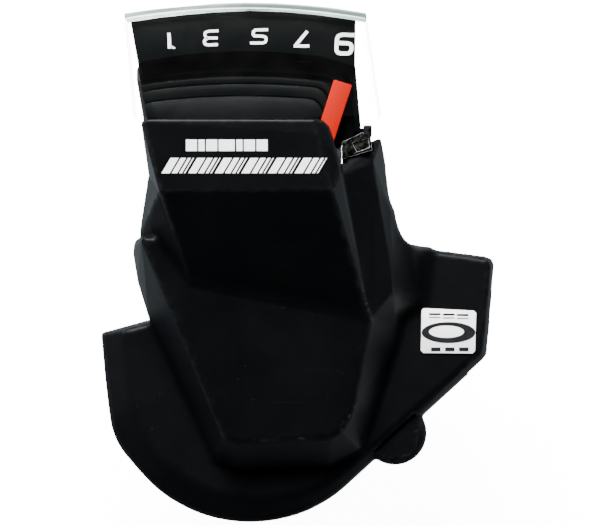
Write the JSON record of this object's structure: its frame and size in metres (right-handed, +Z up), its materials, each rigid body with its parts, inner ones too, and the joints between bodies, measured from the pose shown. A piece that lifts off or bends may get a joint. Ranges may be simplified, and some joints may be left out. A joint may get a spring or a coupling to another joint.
{
  "type": "thumb shifter",
  "caption": "Right-hand bicycle thumb shifter: black plastic cover, clear gear display with an orange needle, two thumb levers, handlebar clamp and barrel cable adjuster.",
  "frame": {"origin": "centre line of the handlebar clamp, 7 mm outboard of the middle of the band", "axes": "+X along the handlebar towards the stem, +Y towards the rider, +Z up through the gear display"},
  "size_m": [0.0605, 0.0779, 0.0472],
  "materials": {
    "cover_plastic": "fine matte moulding, black",
    "display_plastic": "satin black moulding",
    "clear_plastic": "clear, polished",
    "needle_orange": "bright orange moulding",
    "badge_white": "printed white foil",
    "zinc_steel": "stamped and zinc plated",
    "dark_steel": "black oxide",
    "spring_steel": "drawn wire",
    "grey_acetal": "smooth grey moulding",
    "lever_plastic": "fine matte moulding, black",
    "seal_rubber": "smooth"
  },
  "bodies": {
    "housing": {"top_cover": "cover_plastic", "display_floor": "display_plastic", "display_window": "clear_plastic", "wing_badge": "badge_white", "base_bracket": "zinc_steel", "main_axle": "zinc_steel", "needle_circlip": "spring_steel", "winder_return_spring": "spring_steel", "holding_pawl_pin": "zinc_steel", "holding_pawl_spring": "spring_steel", "release_spacer": "dark_steel", "lever_return_spring": "spring_steel", "axle_nut": "zinc_steel", "clamp_band": "dark_steel", "clamp_bolt": "zinc_steel", "clamp_nut": "zinc_steel", "clamp_rivet_1": "zinc_steel", "clamp_rivet_2": "zinc_steel", "cable_stop": "grey_acetal", "cable_stop_screw": "zinc_steel", "cover_screw_1": "zinc_steel", "cover_screw_2": "zinc_steel", "cover_screw_3": "zinc_steel", "lower_housing": "cover_plastic"},
    "winder": {"cable_drum": "grey_acetal", "index_ratchet": "zinc_steel", "feed_ratchet": "zinc_steel", "winder_spacer": "grey_acetal"},
    "main_lever_body": {"main_lever": "zinc_steel", "thumb_pad": "lever_plastic", "feed_pawl_pin": "zinc_steel", "feed_pawl_spring": "spring_steel"},
    "release_lever_body": {"release_lever": "zinc_steel", "release_pad": "lever_plastic"},
    "needle": {"indicator_needle": "needle_orange"},
    "feed_pawl_body": {"feed_pawl": "zinc_steel"},
    "holding_pawl_body": {"holding_pawl": "zinc_steel"},
    "adjuster_carrier": {"adjuster_seal": "seal_rubber"},
    "adjuster_barrel": {"barrel_adjuster": "lever_plastic"}
  },
  "joints": [
    {"name": "main_lever_push", "type": "hinge", "parent": "housing", "child": "main_lever_body", "pos_m": [-0.0025, -0.0337, 0], "axis": [0, 0, 1], "range_deg": [0, 42], "stiffness_Nm_per_rad": 0.03, "springref_deg": -28.65},
    {"name": "release_lever_push", "type": "hinge", "parent": "housing", "child": "release_lever_body", "pos_m": [-0.0025, -0.0337, 0], "axis": [0, 0, 1], "range_deg": [-10, 10], "stiffness_Nm_per_rad": 0.05},
    {"name": "winder_turn", "type": "hinge", "parent": "housing", "child": "winder", "pos_m": [-0.0025, -0.0337, 0], "axis": [0, 0, 1], "range_deg": [0, 144]},
    {"name": "needle_swing", "type": "hinge", "parent": "housing", "child": "needle", "pos_m": [-0.0025, -0.0337, 0], "axis": [0, 0, 1], "range_deg": [0, 29]},
    {"name": "feed_pawl_lift", "type": "hinge", "parent": "main_lever_body", "child": "feed_pawl_body", "pos_m": [-0.01528, -0.04265, 0], "axis": [0, 0, -1], "range_deg": [0, 8], "stiffness_Nm_per_rad": 0.0005, "springref_deg": -17.19},
    {"name": "holding_pawl_lift", "type": "hinge", "parent": "housing", "child": "holding_pawl_body", "pos_m": [0.00679, -0.04697, 0], "axis": [0, 0, 1], "range_deg": [0, 8], "stiffness_Nm_per_rad": 0.0005, "springref_deg": -17.19},
    {"name": "adjuster_travel", "type": "slide", "parent": "housing", "child": "adjuster_carrier", "axis": [1, 0, 0], "range_m": [0, 0.0032]},
    {"name": "adjuster_turn", "type": "hinge", "parent": "adjuster_carrier", "child": "adjuster_barrel", "pos_m": [0.027, -0.0241, -0.0048], "axis": [1, 0, 0], "range_deg": [0, 1445]}
  ],
  "couplings": [
    {"joint": "needle_swing", "follows": "winder_turn", "ratio": 0.2},
    {"joint": "adjuster_turn", "follows": "adjuster_travel", "rad_per_m": 7854}
  ]
}
